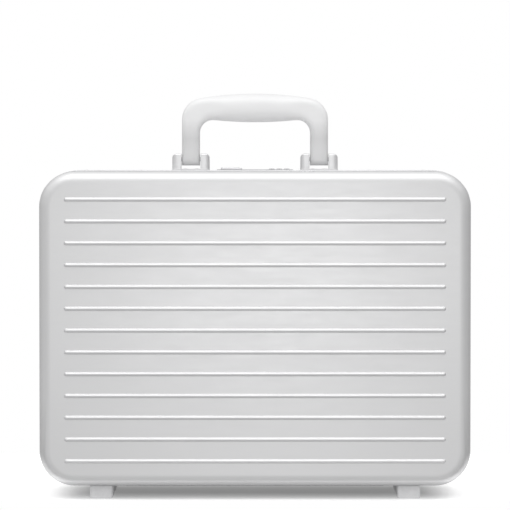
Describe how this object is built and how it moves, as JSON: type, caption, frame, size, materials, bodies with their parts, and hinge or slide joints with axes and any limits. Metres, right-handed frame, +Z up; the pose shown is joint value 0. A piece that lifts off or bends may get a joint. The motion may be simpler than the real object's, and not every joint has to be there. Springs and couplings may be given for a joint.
{
  "type": "attache case",
  "caption": "Flat rectangular carrying case of ribbed pressed aluminium with hinged lid, folding top handle, dial slide lock and four feet.",
  "frame": {"origin": "on the floor, under the middle of the parting plane between base and lid", "axes": "+X across the case towards the dials, -Y out of the lid's face, +Z up towards the handle"},
  "size_m": [0.43, 0.1386, 0.4032],
  "materials": {
    "shell": "satin",
    "frame": "satin",
    "fastener": "satin",
    "lining": "matte",
    "feet": "matte",
    "seal": "matte",
    "bracket": "satin",
    "pin": "satin",
    "hinge": "satin",
    "lock_plate": "satin",
    "lock_works": "satin",
    "slider": "satin",
    "dials": "satin",
    "handle": "satin",
    "stays": "satin",
    "organiser": "grained",
    "loops": "woven"
  },
  "bodies": {
    "base": {"base_shell": "shell", "base_frame": "frame", "base_frame_rivets": "fastener", "frame_seal": "seal", "base_lining": "lining", "base_foot_left": "feet", "base_foot_right": "feet", "base_foot_screws": "fastener", "hinge_base_leaf": "hinge", "hinge_pin": "pin", "hinge_base_screws": "fastener", "handle_bracket_left": "bracket", "handle_bracket_right": "bracket", "handle_pin_left": "pin", "handle_pin_right": "pin", "bracket_rivets": "fastener", "bracket_backing_plates": "bracket", "lock_plate": "lock_plate", "lock_housing": "lock_works", "dial_shaft": "pin", "stay_base_pivot_left": "stays", "stay_base_pivot_right": "stays"},
    "lid": {"lid_shell": "shell", "lid_frame": "frame", "lid_frame_rivets": "fastener", "lid_lining": "lining", "lid_foot_left": "feet", "lid_foot_right": "feet", "lid_foot_screws": "fastener", "hinge_lid_leaf": "hinge", "hinge_lid_screws": "fastener", "lock_keepers": "lock_plate", "stay_lid_pivot_left": "stays", "stay_lid_pivot_right": "stays", "lid_folio": "organiser", "card_pockets": "organiser", "pen_loops": "loops"},
    "latch": {"lock_slider": "slider", "latch_bar": "lock_works"},
    "dial_1": {"dial_1": "dials"},
    "dial_2": {"dial_2": "dials"},
    "dial_3": {"dial_3": "dials"},
    "handle": {"handle_grip": "handle"},
    "stay_base_left": {"stay_base_arm_left": "stays"},
    "stay_base_right": {"stay_base_arm_right": "stays"},
    "stay_lid_left": {"stay_lid_arm_left": "stays", "stay_stud_left": "stays"},
    "stay_lid_right": {"stay_lid_arm_right": "stays", "stay_stud_right": "stays"}
  },
  "joints": [
    {"name": "lid_hinge", "type": "hinge", "parent": "base", "child": "lid", "pos_m": [0, 0, 0.0094], "axis": [1, 0, 0], "range_deg": [0, 90]},
    {"name": "handle_fold", "type": "hinge", "parent": "base", "child": "handle", "pos_m": [0, 0.0105, 0.337], "axis": [1, 0, 0], "range_deg": [-85, 85]},
    {"name": "lock_slide", "type": "slide", "parent": "base", "child": "latch", "axis": [1, 0, 0], "range_m": [0, 0.006]},
    {"name": "dial_1_turn", "type": "hinge", "parent": "base", "child": "dial_1", "pos_m": [0.017, 0.0115, 0.3213], "axis": [1, 0, 0], "continuous": true},
    {"name": "dial_2_turn", "type": "hinge", "parent": "base", "child": "dial_2", "pos_m": [0.02455, 0.0115, 0.3213], "axis": [1, 0, 0], "continuous": true},
    {"name": "dial_3_turn", "type": "hinge", "parent": "base", "child": "dial_3", "pos_m": [0.0321, 0.0115, 0.3213], "axis": [1, 0, 0], "continuous": true},
    {"name": "stay_base_left_turn", "type": "hinge", "parent": "base", "child": "stay_base_left", "pos_m": [-0.2014, 0.05, 0.0844], "axis": [1, 0, 0], "range_deg": [0, 45]},
    {"name": "stay_lid_left_turn", "type": "hinge", "parent": "lid", "child": "stay_lid_left", "pos_m": [-0.2028, -0.05, 0.0844], "axis": [1, 0, 0], "range_deg": [-45, 0]},
    {"name": "stay_base_right_turn", "type": "hinge", "parent": "base", "child": "stay_base_right", "pos_m": [0.2014, 0.05, 0.0844], "axis": [1, 0, 0], "range_deg": [0, 45]},
    {"name": "stay_lid_right_turn", "type": "hinge", "parent": "lid", "child": "stay_lid_right", "pos_m": [0.2028, -0.05, 0.0844], "axis": [1, 0, 0], "range_deg": [-45, 0]}
  ],
  "couplings": [
    {"joint": "stay_base_left_turn", "follows": "lid_hinge", "ratio": 0.5},
    {"joint": "stay_lid_left_turn", "follows": "lid_hinge", "ratio": -0.5},
    {"joint": "stay_base_right_turn", "follows": "lid_hinge", "ratio": 0.5},
    {"joint": "stay_lid_right_turn", "follows": "lid_hinge", "ratio": -0.5}
  ]
}
